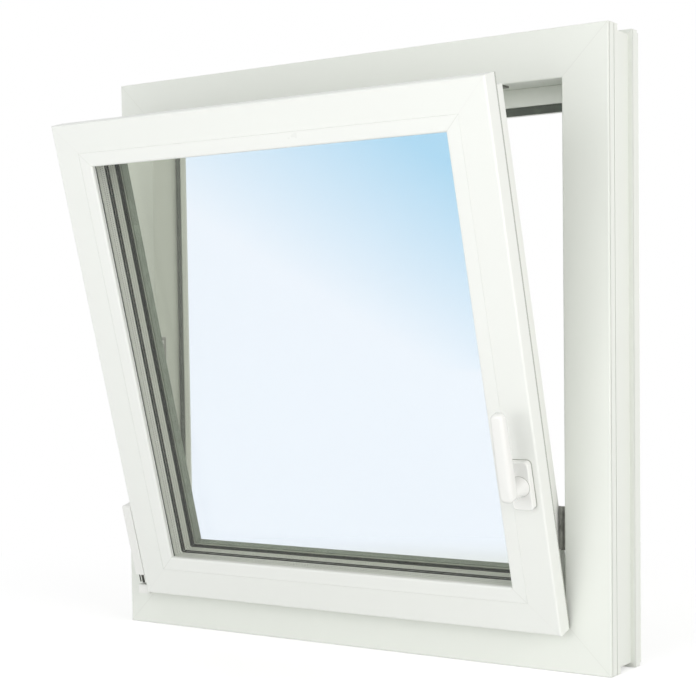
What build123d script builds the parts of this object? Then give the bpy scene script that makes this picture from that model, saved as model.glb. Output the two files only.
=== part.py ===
import os

from build123d import *

os.makedirs("parts", exist_ok=True)

# Overall sizes of the outer frame
frame_width = 832.0
frame_height = 850.0
frame_depth = 100.0
frame_face = 66.0
wall = 3.0
web = 1.8

# Outline of the frame bar on its wall side
flange_depth = 29.0
recess_step = 6.0
back_flange_depth = 26.0
back_notch_width = 3.5
back_ridge_depth = 6.0
back_ridge_step = 2.5
line_groove_front = 3.5
line_groove_back = 17.5
line_groove = 1.6
frame_edge_radius = 1.0
rebate_edge_radius = 2.0

# Outer lip that the sash closes against
stop_depth = 57.0
lip_height = 9.0
lip_flat = 9.0
lip_back = 4.0
outer_face = 76.0
back_width = 40.0

# Deeper stop under the head, with its own seal
head_stop_height = 27.0
head_stop_seal = 11.0
head_stop_gap = 0.3

# Sash placed in the frame
lap = 8.0
rebate_gap = 12.0
sash_proud = 28.0
lap_gap = 3.0
tilt_angle = 15.2
pivot_before_face = 8.0
pivot_height = 56.0

# Sash bar
sash_depth = 81.0
sash_bar = 64.0
bead_width = 21.0
bead_depth = 26.0
bead_foot = 5.0
glass_ledge = 46.0
groove_width = 16.0
groove_depth = 9.0
groove_setback = 5.0
groove_shoulder = 2.0
sash_taper = 3.0
sash_edge_radius = 3.0
lip_edge_radius = 1.2
joint_bevel = 0.6
bead_edge_radius = 3.0

# Sealed unit
pane = 4.0
cavity = 20.0
glass_cover = 14.0
glass_setback = 10.0
spacer_height = 7.0
spacer_corner = 3.0
sealant_height = 4.0
block_length = 90.0

# Seals
seal_thickness = 3.0
seal_width = 4.0
seal_inset = 1.5
lap_seal = 2.9
lap_seal_inset = 0.6
stop_seal_width = 6.0

# Handle
handle_from_edge = 24.0
handle_height = 213.0
rosette_width = 30.0
rosette_height = 66.0
rosette_thickness = 11.0
rosette_corner = 6.0
rosette_bevel = 1.5
neck_radius = 12.0
neck_length = 25.0
neck_taper = 4.5
lever_width = 20.0
lever_thickness = 16.0
lever_above = 109.0
lever_below = 9.0
lever_corner = 8.0
lever_edge = 4.0

# Hinges on the left, both on one upright line
hinge_leaf_width = 18.0
hinge_leaf_depth = 24.0
hinge_leaf_bottom = 30.0
hinge_leaf_top = 144.0
hinge_leaf_corner = 3.0
hinge_rod_radius = 2.6
hinge_head_radius = 4.6
hinge_head_length = 8.0
hinge_clearance = 0.3
hinge_wall = 2.6
hinge_head_gap = 1.0
hinge_cup_foot = 12.0
hinge_cup_above = 1.0
hinge_plate_width = 23.0
hinge_plate_height = 19.0
hinge_plate_thickness = 3.0
hinge_plate_corner = 4.0
cover_wall = 2.0
cover_above = 3.0

# Stay arm over the top of the sash
stay_reach = 300.0
stay_width = 13.0
stay_thickness = 3.0
stay_pin_radius = 3.0
stay_drop = 9.0
stay_lift = 4.0
stay_bearing_height = 18.0
slider_length = 40.0

# Steel sections inside the bars
steel_thickness = 2.0
steel_clearance = 0.5
steel_setback = 12.0

# Drains of the sill
drain_length = 30.0
drain_width = 5.0
drain_spacing = 460.0
drain_cap_length = 46.0
drain_cap_width = 14.0
drain_cap_thickness = 4.0
drain_cap_taper = 8.0
drain_cap_level = 30.0

# Lock rails in the groove of the sash, cams on them and keeps on the frame
rail_thickness = 2.5
rail_clearance = 0.5
cam_radius = 5.0
cam_stem_radius = 3.5
cam_height = 9.0
cam_head = 3.0
keep_length = 58.0
keep_width = 20.0
keep_base = 2.5
keep_height = 5.0
keep_setback = 0.5
keep_lip = 2.0
tilt_keep_level = 192.0
tilt_keep_height = 11.5
tilt_keep_step = 8.0
tilt_keep_front = 2.0
tilt_keep_middle = 6.0
tilt_keep_back = 9.0
tilt_keep_bevel = 1.2

# Sizes that follow from those above
lap_inset = frame_face - lap
sash_width = frame_width - 2 * lap_inset
sash_height = frame_height - 2 * lap_inset
sash_bottom = lap_inset
lip_thickness = sash_proud - lap_gap
body_inset = lap + rebate_gap
unit_depth = 3 * pane + 2 * cavity
unit_back = glass_setback + unit_depth
glass_edge = sash_bar - glass_cover
bead_line = sash_bar - bead_width
recess_end = frame_depth - back_flange_depth
back_notch_end = frame_depth - back_ridge_depth
back_notch_start = back_notch_end - back_notch_width
steel_start = flange_depth
steel_end = stop_depth - web

# The origin lies under the middle of the front flange
room_face = -flange_depth / 2
pivot_depth = room_face - pivot_before_face

# The sash swings about a level axis near its lower edge
sash_swing = Location((0, pivot_depth, pivot_height), (tilt_angle, 0, 0))
sash_swing = sash_swing * Location((0, -pivot_depth, -pivot_height))


def on_sash(plane):
    return Plane(sash_swing * plane.location)


def bar_planes(width, height, bottom, front):
    # section planes with x from the outer edge to the opening and y to the outside
    middle = bottom + height / 2
    return {
        "bottom": Plane((0, room_face + front, bottom), x_dir=(0, 0, 1), z_dir=(-1, 0, 0)),
        "top": Plane((0, room_face + front, bottom + height), x_dir=(0, 0, -1), z_dir=(1, 0, 0)),
        "left": Plane((-width / 2, room_face + front, middle), x_dir=(1, 0, 0), z_dir=(0, 0, 1)),
        "right": Plane((width / 2, room_face + front, middle), x_dir=(-1, 0, 0), z_dir=(0, 0, -1)),
    }


def mitre_planes(side, width, height, bottom):
    # planes through the two corners of a side, each facing along the bar to its middle
    corners = {
        "bottom": [(-1, 0, 1, -1), (1, 0, -1, -1)],
        "top": [(-1, 1, 1, 1), (1, 1, -1, 1)],
        "left": [(-1, 0, -1, 1), (-1, 1, -1, -1)],
        "right": [(1, 0, 1, 1), (1, 1, 1, -1)],
    }
    planes = []
    for side_x, at_top, facing_x, facing_z in corners[side]:
        corner = (side_x * width / 2, 0, bottom + at_top * height)
        planes.append(Plane(origin=corner, x_dir=(0, 1, 0), z_dir=(facing_x, 0, facing_z)))
    return planes


frame_planes = bar_planes(frame_width, frame_height, 0, 0)
sash_planes = bar_planes(sash_width, sash_height, sash_bottom, -sash_proud)


def room_plane(depth, across=0.0, height=frame_height / 2):
    # plane at a depth behind the room face, with x to the right and its normal to the room
    return Plane(origin=(across, room_face + depth, height), x_dir=(1, 0, 0), z_dir=(0, -1, 0))


def frame_outline():
    lip_top = frame_face + lip_height
    return [
        (0, 0),
        (0, line_groove_front),
        (line_groove, line_groove_front),
        (line_groove, line_groove_front + line_groove),
        (0, line_groove_front + line_groove),
        (0, line_groove_back),
        (line_groove, line_groove_back),
        (line_groove, line_groove_back + line_groove),
        (0, line_groove_back + line_groove),
        (0, flange_depth),
        (recess_step, flange_depth),
        (recess_step, recess_end),
        (0, recess_end),
        (0, recess_end + line_groove),
        (line_groove, recess_end + line_groove),
        (line_groove, recess_end + 2 * line_groove),
        (0, recess_end + 2 * line_groove),
        (0, back_notch_start),
        (recess_step, back_notch_start),
        (recess_step, back_notch_end),
        (back_ridge_step, back_notch_end),
        (back_ridge_step, frame_depth),
        (back_width, frame_depth),
        (back_width, outer_face),
        (frame_face + lip_back, outer_face),
        (lip_top, stop_depth + lip_flat),
        (lip_top, stop_depth),
        (frame_face, stop_depth),
        (frame_face, 0),
        (0, 0),
    ]


def chamber(x_low, x_high, y_low, y_high):
    with Locations(((x_low + x_high) / 2, (y_low + y_high) / 2)):
        Rectangle(x_high - x_low, y_high - y_low, mode=Mode.SUBTRACT)


def frame_chambers():
    inner = wall + recess_step
    outer = frame_face - wall
    middle = (inner + frame_face) / 2
    row = (stop_depth + web / 2, recess_end - web / 2)
    chamber(wall, outer, wall, flange_depth - web)
    chamber(inner, outer, flange_depth, stop_depth - web)
    chamber(inner, middle - web / 2, *row)
    chamber(middle + web / 2, frame_face + web, *row)
    chamber(inner, back_width - wall, recess_end + web / 2, frame_depth - wall)


def sash_outline():
    ledge_back = unit_back + seal_thickness
    groove_start = lip_thickness + groove_setback
    return [
        (0, 0),
        (bead_line, 0),
        (bead_line, bead_depth),
        (glass_ledge, bead_depth),
        (glass_ledge, ledge_back),
        (sash_bar, ledge_back),
        (sash_bar, ledge_back + wall),
        (sash_bar - 2 * sash_taper, sash_depth),
        (body_inset + sash_taper, sash_depth),
        (body_inset, sash_depth - sash_taper),
        (body_inset, groove_start + groove_width),
        (body_inset + rail_thickness, groove_start + groove_width),
        (body_inset + rail_thickness, groove_start + groove_width - groove_shoulder),
        (body_inset + groove_depth, groove_start + groove_width - groove_shoulder),
        (body_inset + groove_depth, groove_start + groove_shoulder),
        (body_inset + rail_thickness, groove_start + groove_shoulder),
        (body_inset + rail_thickness, groove_start),
        (body_inset, groove_start),
        (body_inset, lip_thickness),
        (0, lip_thickness),
        (0, 0),
    ]


def sash_chambers():
    first_end = lip_thickness - wall
    groove_end = lip_thickness + groove_setback + groove_width
    chamber(wall, bead_line - wall, wall, first_end)
    chamber(body_inset + groove_depth + wall, bead_line, first_end + web, groove_end - web)
    chamber(body_inset + wall, bead_line, groove_end + web, sash_depth - wall)


def bead_outline():
    tip_depth = glass_setback - seal_thickness
    return [
        (bead_line, joint_bevel),
        (bead_line + joint_bevel, 0),
        (sash_bar, 0),
        (sash_bar, tip_depth),
        (bead_line + bead_foot, tip_depth),
        (bead_line + bead_foot, bead_depth),
        (bead_line, bead_depth),
        (bead_line, joint_bevel),
    ]


def loop_sketch(width, height, inset, loop_width):
    # a mitred ring seen from the room, from inset to inset plus its own width
    Rectangle(width - 2 * inset, height - 2 * inset)
    far = inset + loop_width
    Rectangle(width - 2 * far, height - 2 * far, mode=Mode.SUBTRACT)


def round_corner(sketch, x, y, radius):
    fillet(sketch.vertices().sort_by_distance((x, y))[0], radius)


# Outer frame of four welded bars
for side, name in (
    ("bottom", "frame_sill"),
    ("top", "frame_head"),
    ("left", "frame_left_jamb"),
    ("right", "frame_right_jamb"),
):
    length = frame_width if side in ("bottom", "top") else frame_height
    with BuildPart() as frame_bar:
        with BuildSketch(frame_planes[side]) as section:
            with BuildLine():
                Polyline(*frame_outline())
            make_face()
            round_corner(section, 0, 0, frame_edge_radius)
            round_corner(section, frame_face, 0, rebate_edge_radius)
            frame_chambers()
        extrude(amount=length / 2, both=True)
        for cut in mitre_planes(side, frame_width, frame_height, 0):
            split(bisect_by=cut, keep=Keep.TOP)
        if side == "bottom":
            # two drain slots in the floor of the rebate
            drain_line = room_face + (flange_depth + stop_depth) / 2
            with BuildSketch(Plane.XY.offset(frame_face)):
                with Locations((0, drain_line)):
                    with GridLocations(drain_spacing, 1, 2, 1):
                        SlotOverall(drain_length, drain_width)
            extrude(amount=-wall, mode=Mode.SUBTRACT)
    frame_bar.part.label = name
    export_step(frame_bar.part, f"parts/{name}.step")

# Seal on the outer lip, facing the room
with BuildPart() as frame_stop_seal:
    with BuildSketch(room_plane(stop_depth)):
        inset = frame_face + lip_height - seal_inset - stop_seal_width
        loop_sketch(frame_width, frame_height, inset, stop_seal_width)
    extrude(amount=seal_thickness)
frame_stop_seal.part.label = "frame_stop_seal"
export_step(frame_stop_seal.part, "parts/frame_stop_seal.step")

# Bar clipped under the head, which makes its stop deeper
head_stop_top = frame_height - frame_face - lip_height
head_stop_length = frame_width - 2 * (frame_face + lip_height + head_stop_gap)
with BuildPart() as head_stop_bar:
    with BuildSketch(room_plane(stop_depth, 0, head_stop_top - head_stop_height / 2)):
        Rectangle(head_stop_length, head_stop_height)
    extrude(amount=-lip_flat)
head_stop_bar.part.label = "head_stop_bar"
export_step(head_stop_bar.part, "parts/head_stop_bar.step")

with BuildPart() as head_stop_seal_strip:
    seal_middle = head_stop_top - head_stop_height + head_stop_seal / 2
    with BuildSketch(room_plane(stop_depth, 0, seal_middle)):
        Rectangle(head_stop_length, head_stop_seal)
    extrude(amount=seal_thickness)
head_stop_seal_strip.part.label = "head_stop_seal"
export_step(head_stop_seal_strip.part, "parts/head_stop_seal.step")

# Sash of four welded bars, with the beads that hold the glass
for side, name in (
    ("bottom", "bottom_rail"),
    ("top", "top_rail"),
    ("left", "left_stile"),
    ("right", "right_stile"),
):
    length = sash_width if side in ("bottom", "top") else sash_height
    with BuildPart() as sash_bar_piece:
        with BuildSketch(on_sash(sash_planes[side])) as section:
            with BuildLine():
                Polyline(*sash_outline())
            make_face()
            round_corner(section, 0, 0, sash_edge_radius)
            round_corner(section, 0, lip_thickness, lip_edge_radius)
            sash_chambers()
        extrude(amount=length / 2, both=True)
        for cut in mitre_planes(side, sash_width, sash_height, sash_bottom):
            split(bisect_by=on_sash(cut), keep=Keep.TOP)
    sash_bar_piece.part.label = f"sash_{name}"
    export_step(sash_bar_piece.part, f"parts/sash_{name}.step")
    with BuildPart() as bead:
        with BuildSketch(on_sash(sash_planes[side])) as section:
            with BuildLine():
                Polyline(*bead_outline())
            make_face()
            round_corner(section, sash_bar, 0, bead_edge_radius)
        extrude(amount=length / 2, both=True)
        for cut in mitre_planes(side, sash_width, sash_height, sash_bottom):
            split(bisect_by=on_sash(cut), keep=Keep.TOP)
    bead.part.label = f"bead_{side}"
    export_step(bead.part, f"parts/bead_{side}.step")

# Seal under the lap of the sash, three sides and the bottom in one loop
with BuildPart() as sash_lap_seal:
    with BuildSketch(on_sash(room_plane(-lap_gap))):
        loop_sketch(sash_width, sash_height, lap_seal_inset, seal_width)
    extrude(amount=-lap_seal)
sash_lap_seal.part.label = "sash_lap_seal"
export_step(sash_lap_seal.part, "parts/sash_lap_seal.step")

# Sealed unit: three panes, two spacers, two sealant lines
for number, name in enumerate(("room", "middle", "outer")):
    depth = -sash_proud + glass_setback + number * (pane + cavity)
    with BuildPart() as glass_pane:
        with BuildSketch(on_sash(room_plane(depth))):
            Rectangle(sash_width - 2 * glass_edge, sash_height - 2 * glass_edge)
        extrude(amount=-pane)
    glass_pane.part.label = f"glass_{name}_pane"
    export_step(glass_pane.part, f"parts/glass_{name}_pane.step")

for number, name in enumerate(("room", "outer")):
    depth = -sash_proud + glass_setback + pane + number * (pane + cavity)
    with BuildPart() as spacer:
        with BuildSketch(on_sash(room_plane(depth))):
            edge = glass_edge + sealant_height
            Rectangle(sash_width - 2 * edge, sash_height - 2 * edge)
            edge = edge + spacer_height
            RectangleRounded(
                sash_width - 2 * edge,
                sash_height - 2 * edge,
                spacer_corner,
                mode=Mode.SUBTRACT,
            )
        extrude(amount=-cavity)
    spacer.part.label = f"spacer_{name}"
    export_step(spacer.part, f"parts/spacer_{name}.step")
    with BuildPart() as sealant:
        with BuildSketch(on_sash(room_plane(depth))):
            loop_sketch(sash_width, sash_height, glass_edge, sealant_height)
        extrude(amount=-cavity)
    sealant.part.label = f"sealant_{name}"
    export_step(sealant.part, f"parts/sealant_{name}.step")

# Packers between the edge of the glass and its rebate
with BuildPart() as glazing_blocks:
    inner_width = sash_width - 2 * glass_edge
    inner_height = sash_height - 2 * glass_edge
    gap = glass_edge - glass_ledge
    with BuildSketch(on_sash(room_plane(-sash_proud + bead_depth))):
        with GridLocations(inner_width - 2 * block_length, inner_height + gap, 2, 2):
            Rectangle(block_length, gap)
        with GridLocations(inner_width + gap, inner_height - 2 * block_length, 2, 2):
            Rectangle(gap, block_length)
    extrude(amount=bead_depth - unit_back)
glazing_blocks.part.label = "glazing_blocks"
export_step(glazing_blocks.part, "parts/glazing_blocks.step")

with BuildPart() as bead_seal:
    with BuildSketch(on_sash(room_plane(-sash_proud + glass_setback))):
        loop_sketch(sash_width, sash_height, sash_bar - seal_inset - seal_width, seal_width)
    extrude(amount=seal_thickness)
bead_seal.part.label = "bead_seal"
export_step(bead_seal.part, "parts/bead_seal.step")

with BuildPart() as rebate_seal:
    with BuildSketch(on_sash(room_plane(-sash_proud + unit_back))):
        loop_sketch(sash_width, sash_height, sash_bar - seal_inset - seal_width, seal_width)
    extrude(amount=-seal_thickness)
rebate_seal.part.label = "rebate_seal"
export_step(rebate_seal.part, "parts/rebate_seal.step")

# Handle on the right stile, turned up as it stands when the sash is tilted
handle_across = sash_width / 2 - handle_from_edge
handle_level = sash_bottom + handle_height
with BuildPart() as handle_rosette:
    with BuildSketch(on_sash(room_plane(-sash_proud, handle_across, handle_level))):
        RectangleRounded(rosette_width, rosette_height, rosette_corner)
    extrude(amount=rosette_thickness)
    front_face = handle_rosette.faces().sort_by(Axis.Y)[0]
    chamfer(front_face.edges(), rosette_bevel)
handle_rosette.part.label = "handle_rosette"
export_step(handle_rosette.part, "parts/handle_rosette.step")

with BuildPart() as handle_lever:
    front = -sash_proud - rosette_thickness
    lever_middle = handle_level + (lever_above - lever_below) / 2
    with BuildSketch(on_sash(room_plane(front - neck_length, handle_across, lever_middle))):
        RectangleRounded(lever_width, lever_above + lever_below, lever_corner)
    extrude(amount=lever_thickness)
    front_face = handle_lever.faces().sort_by(Axis.Y)[0]
    fillet(front_face.edges(), lever_edge)
    with BuildSketch(on_sash(room_plane(front, handle_across, handle_level))):
        Circle(neck_radius)
    extrude(amount=neck_length, taper=neck_taper)
handle_lever.part.label = "handle_lever"
export_step(handle_lever.part, "parts/handle_lever.step")

# Bottom hinge: leaf with rod and head on the sash, cup and plate on the frame
cup_bore = hinge_head_radius + hinge_clearance
cup_radius = cup_bore + hinge_wall
hinge_across = -sash_width / 2 - 2 * hinge_clearance - cover_wall - cup_radius
leaf_across = -sash_width / 2 - hinge_leaf_width / 2
leaf_depth = room_face - sash_proud + hinge_leaf_depth / 2
head_plane = on_sash(Plane.XY.offset(pivot_height))
with BuildPart() as hinge_leaf:
    with BuildSketch(on_sash(Plane.XY.offset(sash_bottom + hinge_leaf_bottom))) as section:
        with Locations((leaf_across, leaf_depth)):
            Rectangle(hinge_leaf_width, hinge_leaf_depth)
        fillet(section.vertices().group_by(Axis.X)[0], hinge_leaf_corner)
    extrude(amount=hinge_leaf_top - hinge_leaf_bottom)
    chamfer(hinge_leaf.faces().sort_by(Axis.Z)[-1].edges(), hinge_leaf_corner / 2)
    with BuildSketch(head_plane):
        with Locations((hinge_across, pivot_depth)):
            Circle(hinge_rod_radius)
    extrude(amount=sash_bottom + hinge_leaf_bottom - pivot_height)
    # head in the cup, thinner at both ends so that it can rock
    head_origin = (hinge_across, pivot_depth, pivot_height)
    with BuildSketch(on_sash(Plane(head_origin, x_dir=(1, 0, 0), z_dir=(0, -1, 0)))):
        with BuildLine():
            Polyline(
                (0, -hinge_head_length / 2),
                (hinge_head_radius / 2, -hinge_head_length / 2),
                (hinge_head_radius, -hinge_head_length / 8),
                (hinge_head_radius, hinge_head_length / 8),
                (hinge_head_radius / 2, hinge_head_length / 2),
                (0, hinge_head_length / 2),
                (0, -hinge_head_length / 2),
            )
        make_face()
    head_foot = head_plane.from_local_coords((hinge_across, pivot_depth, 0))
    revolve(axis=Axis(head_foot, head_plane.z_dir))
hinge_leaf.part.label = "hinge_leaf"
export_step(hinge_leaf.part, "parts/hinge_leaf.step")


def bearing_post():
    # post round the hinge line, joined to the plate on the frame
    with Locations((hinge_across, (pivot_depth + room_face) / 2)):
        Rectangle(2 * (cup_radius - hinge_wall), room_face - pivot_depth)
    with Locations((hinge_across, pivot_depth)):
        Circle(cup_radius)


plate_across = -sash_width / 2 - hinge_clearance - hinge_plate_width / 2
cup_floor = pivot_height - hinge_head_length / 2 - hinge_head_gap
cup_top = pivot_height + hinge_cup_above
with BuildPart() as hinge_bearing:
    with BuildSketch(room_plane(0, plate_across, cup_top - hinge_plate_height / 2)):
        Rectangle(hinge_plate_width - 2 * cover_wall, hinge_plate_height)
    extrude(amount=hinge_plate_thickness)
    with BuildSketch(Plane.XY.offset(cup_floor - hinge_cup_foot)):
        bearing_post()
    extrude(amount=cup_top - cup_floor + hinge_cup_foot)
    with BuildSketch(Plane.XY.offset(cup_floor)):
        with Locations((hinge_across, pivot_depth)):
            Circle(cup_bore)
    extrude(amount=2 * hinge_head_length, mode=Mode.SUBTRACT)
hinge_bearing.part.label = "hinge_bearing"
export_step(hinge_bearing.part, "parts/hinge_bearing.step")

# Stay: bearing on the frame, arm, and slider in the top groove of the sash
arm_level = frame_height - frame_face - stay_drop
groove_line = room_face - lap_gap + groove_setback + groove_width / 2
sash_body_top = sash_bottom + sash_height - body_inset
slider_across = hinge_across + stay_reach
slider_plane = on_sash(Plane.XY.offset(sash_body_top + stay_lift))
slider_spot = slider_plane.from_local_coords((slider_across, groove_line, 0))
sash_back = room_face - sash_proud + sash_depth
back_corner = slider_plane.from_local_coords((0, sash_back, 0))
bearing_top = arm_level - stay_thickness / 2
with BuildPart() as stay_bearing:
    with BuildSketch(room_plane(0, plate_across, bearing_top - hinge_plate_height / 2)):
        Rectangle(hinge_plate_width - 2 * cover_wall, hinge_plate_height)
    extrude(amount=hinge_plate_thickness)
    with BuildSketch(Plane.XY.offset(bearing_top - stay_bearing_height)):
        bearing_post()
    extrude(amount=stay_bearing_height)
    with BuildSketch(Plane.XY.offset(bearing_top)):
        with Locations((hinge_across, pivot_depth)):
            Circle(stay_pin_radius)
    extrude(amount=2 * stay_thickness)
stay_bearing.part.label = "stay_bearing"
export_step(stay_bearing.part, "parts/stay_bearing.step")

# White caps over the two bearings, closed below and open for the moving half
cover_reach = room_face - pivot_depth + cup_radius + hinge_clearance + cover_wall
cover_depth = room_face - cover_reach / 2
for name, top, high in (
    ("hinge_cover", cup_top, pivot_height + cover_above),
    ("stay_cover", bearing_top, bearing_top - hinge_clearance),
):
    low = top - hinge_plate_height - cover_wall
    with BuildPart() as cover:
        with BuildSketch(Plane.XY.offset(low)) as outside:
            with Locations((plate_across, cover_depth)):
                Rectangle(hinge_plate_width, cover_reach)
            fillet(outside.vertices().group_by(Axis.Y)[0], hinge_plate_corner)
        extrude(amount=high - low)
        with BuildSketch(Plane.XY.offset(low + cover_wall)) as inside:
            with Locations((plate_across, cover_depth + cover_wall / 2)):
                Rectangle(hinge_plate_width - 2 * cover_wall, cover_reach - cover_wall)
            fillet(inside.vertices().group_by(Axis.Y)[0], hinge_plate_corner - cover_wall)
        extrude(amount=high - low, mode=Mode.SUBTRACT)
    cover.part.label = name
    export_step(cover.part, f"parts/{name}.step")

with BuildPart() as stay_arm:
    # side view of the cranked arm, then cut to its plan
    low_end = slider_plane.from_local_coords((0, groove_line - stay_width, 0))
    level_start = pivot_depth - stay_width
    level_end = pivot_depth + stay_width
    under = arm_level - stay_thickness / 2
    with BuildSketch(Plane(origin=(0, 0, 0), x_dir=(0, 1, 0), z_dir=(1, 0, 0))):
        with BuildLine():
            Polyline(
                (low_end.Y, low_end.Z),
                (back_corner.Y, back_corner.Z),
                (level_start, under),
                (level_end, under),
                (level_end, under + stay_thickness),
                (level_start, under + stay_thickness),
                (back_corner.Y, back_corner.Z + stay_thickness),
                (low_end.Y, low_end.Z + stay_thickness),
                (low_end.Y, low_end.Z),
            )
        make_face()
    extrude(amount=frame_width, both=True)
    with BuildSketch(Plane.XY.offset(sash_bottom)):
        near = (hinge_across, pivot_depth)
        far = (slider_spot.X, slider_spot.Y)
        SlotCenterPoint(((near[0] + far[0]) / 2, (near[1] + far[1]) / 2), far, stay_width)
        with Locations(near):
            Circle(stay_pin_radius + hinge_clearance, mode=Mode.SUBTRACT)
    extrude(amount=frame_height, mode=Mode.INTERSECT)
    with BuildSketch(slider_plane.offset(-stay_lift)):
        with Locations((slider_across, groove_line)):
            Circle(stay_pin_radius + hinge_clearance)
    extrude(amount=stay_lift + 3 * stay_thickness, mode=Mode.SUBTRACT)
stay_arm.part.label = "stay_arm"
export_step(stay_arm.part, "parts/stay_arm.step")

with BuildPart() as stay_slider:
    with BuildSketch(slider_plane.offset(-stay_lift)):
        with Locations((slider_across, groove_line)):
            RectangleRounded(slider_length, groove_width - 2 * groove_shoulder, 3)
    extrude(amount=stay_lift)
    with BuildSketch(slider_plane):
        with Locations((slider_across, groove_line)):
            Circle(stay_pin_radius)
    extrude(amount=stay_thickness + 1)
stay_slider.part.label = "stay_slider"
export_step(stay_slider.part, "parts/stay_slider.step")

# Lock rails in the groove, one on each side of the sash
rail_start = lip_thickness + groove_setback
for side in ("bottom", "top", "left", "right"):
    length = sash_width if side in ("bottom", "top") else sash_height
    with BuildPart() as lock_rail:
        with BuildSketch(on_sash(sash_planes[side])):
            with Locations((body_inset + rail_thickness / 2, rail_start + groove_width / 2)):
                Rectangle(rail_thickness, groove_width - 2 * rail_clearance)
        extrude(amount=length / 2 - body_inset - rail_thickness - rail_clearance, both=True)
    lock_rail.part.label = f"lock_rail_{side}"
    export_step(lock_rail.part, f"parts/lock_rail_{side}.step")

# Mushroom cams on the rails and the keeps that take them when the sash is shut
keep_offset = frame_height / 2 - tilt_keep_level
tilt_lock = ("right", keep_offset)
lock_points = (
    ("left", 0),
    ("bottom", -keep_offset / 2),
    ("top", keep_offset),
)
cam_line = rail_start + groove_width / 2
with BuildPart() as lock_cams:
    for side, along in (tilt_lock, *lock_points):
        cam_plane = on_sash(sash_planes[side].offset(along))
        with BuildSketch(cam_plane):
            with BuildLine():
                Polyline(
                    (body_inset, cam_line),
                    (body_inset, cam_line + cam_stem_radius),
                    (body_inset - cam_height + cam_head, cam_line + cam_stem_radius),
                    (body_inset - cam_height + cam_head, cam_line + cam_radius),
                    (body_inset - cam_height, cam_line + cam_radius),
                    (body_inset - cam_height, cam_line),
                    (body_inset, cam_line),
                )
            make_face()
        cam_foot = cam_plane.from_local_coords((0, cam_line, 0))
        revolve(axis=Axis(cam_foot, cam_plane.x_dir))
lock_cams.part.label = "lock_cams"
export_step(lock_cams.part, "parts/lock_cams.step")

with BuildPart() as keeps:
    for side, along in lock_points:
        with BuildSketch(frame_planes[side].offset(along)):
            with BuildLine():
                Polyline(
                    (frame_face, keep_setback),
                    (frame_face + keep_height, keep_setback),
                    (frame_face + keep_height, keep_setback + keep_lip),
                    (frame_face + keep_base, keep_setback + keep_lip),
                    (frame_face + keep_base, keep_setback + keep_width),
                    (frame_face, keep_setback + keep_width),
                    (frame_face, keep_setback),
                )
            make_face()
        extrude(amount=keep_length / 2, both=True)
keeps.part.label = "keeps"
export_step(keeps.part, "parts/keeps.step")

with BuildPart() as tilt_keep:
    tilt_side, tilt_along = tilt_lock
    with BuildSketch(frame_planes[tilt_side].offset(tilt_along)) as section:
        with BuildLine():
            Polyline(
                (frame_face, tilt_keep_front),
                (frame_face + tilt_keep_step, tilt_keep_front),
                (frame_face + tilt_keep_step, tilt_keep_middle),
                (frame_face + tilt_keep_height, tilt_keep_middle),
                (frame_face + tilt_keep_height, tilt_keep_back),
                (frame_face + keep_base, tilt_keep_back),
                (frame_face + keep_base, tilt_keep_front + keep_width),
                (frame_face, tilt_keep_front + keep_width),
                (frame_face, tilt_keep_front),
            )
        make_face()
        edge_spot = (frame_face + tilt_keep_step, tilt_keep_front)
        chamfer(section.vertices().sort_by_distance(edge_spot)[0], tilt_keep_bevel)
    extrude(amount=keep_length / 2, both=True)
tilt_keep.part.label = "tilt_keep"
export_step(tilt_keep.part, "parts/tilt_keep.step")

# Steel sections in the large chambers, screwed to the room side wall of each
steel_sets = (
    ("frame_steels", frame_planes, frame_width, frame_height, 0),
    ("sash_steels", sash_planes, sash_width, sash_height, sash_bottom),
)
steel_boxes = {
    "frame_steels": (wall + recess_step, frame_face - wall, flange_depth, stop_depth - web),
    "sash_steels": (
        body_inset + wall,
        bead_line,
        lip_thickness + groove_setback + groove_width + web,
        sash_depth - wall,
    ),
}
for name, planes, width, height, bottom in steel_sets:
    x_low, x_high, y_low, y_high = steel_boxes[name]
    x_low = x_low + steel_clearance
    x_high = x_high - steel_clearance
    y_high = y_high - steel_clearance
    with BuildPart() as steels:
        for side in ("bottom", "top", "left", "right"):
            length = width if side in ("bottom", "top") else height
            plane = planes[side]
            if name == "sash_steels":
                plane = on_sash(plane)
            with BuildSketch(plane):
                with Locations(((x_low + x_high) / 2, (y_low + y_high) / 2)):
                    Rectangle(x_high - x_low, y_high - y_low)
                with Locations(((x_low + x_high) / 2, (y_low + y_high + steel_thickness) / 2)):
                    Rectangle(
                        x_high - x_low - 2 * steel_thickness,
                        y_high - y_low - steel_thickness,
                        mode=Mode.SUBTRACT,
                    )
            extrude(amount=length / 2 - x_high - steel_setback, both=True)
    steels.part.label = name
    export_step(steels.part, f"parts/{name}.step")

# Caps over the drain slots in the outer face of the sill
with BuildPart() as drain_caps:
    cap_plane = Plane((0, room_face + frame_depth, drain_cap_level), x_dir=(-1, 0, 0), z_dir=(0, 1, 0))
    with BuildSketch(cap_plane):
        with GridLocations(drain_spacing, 1, 2, 1):
            RectangleRounded(drain_cap_length, drain_cap_width, drain_cap_thickness)
    extrude(amount=drain_cap_thickness, taper=drain_cap_taper)
    with BuildSketch(cap_plane):
        with GridLocations(drain_spacing, 1, 2, 1):
            Rectangle(drain_length, drain_cap_width / 2)
        with Locations((0, -drain_cap_width / 2)):
            with GridLocations(drain_spacing, 1, 2, 1):
                Rectangle(drain_length, drain_cap_width)
    extrude(amount=drain_cap_thickness / 2, mode=Mode.SUBTRACT)
drain_caps.part.label = "drain_caps"
export_step(drain_caps.part, "parts/drain_caps.step")
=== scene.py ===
import math

import bmesh
import bpy
from mathutils import Matrix, Quaternion, Vector


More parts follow.
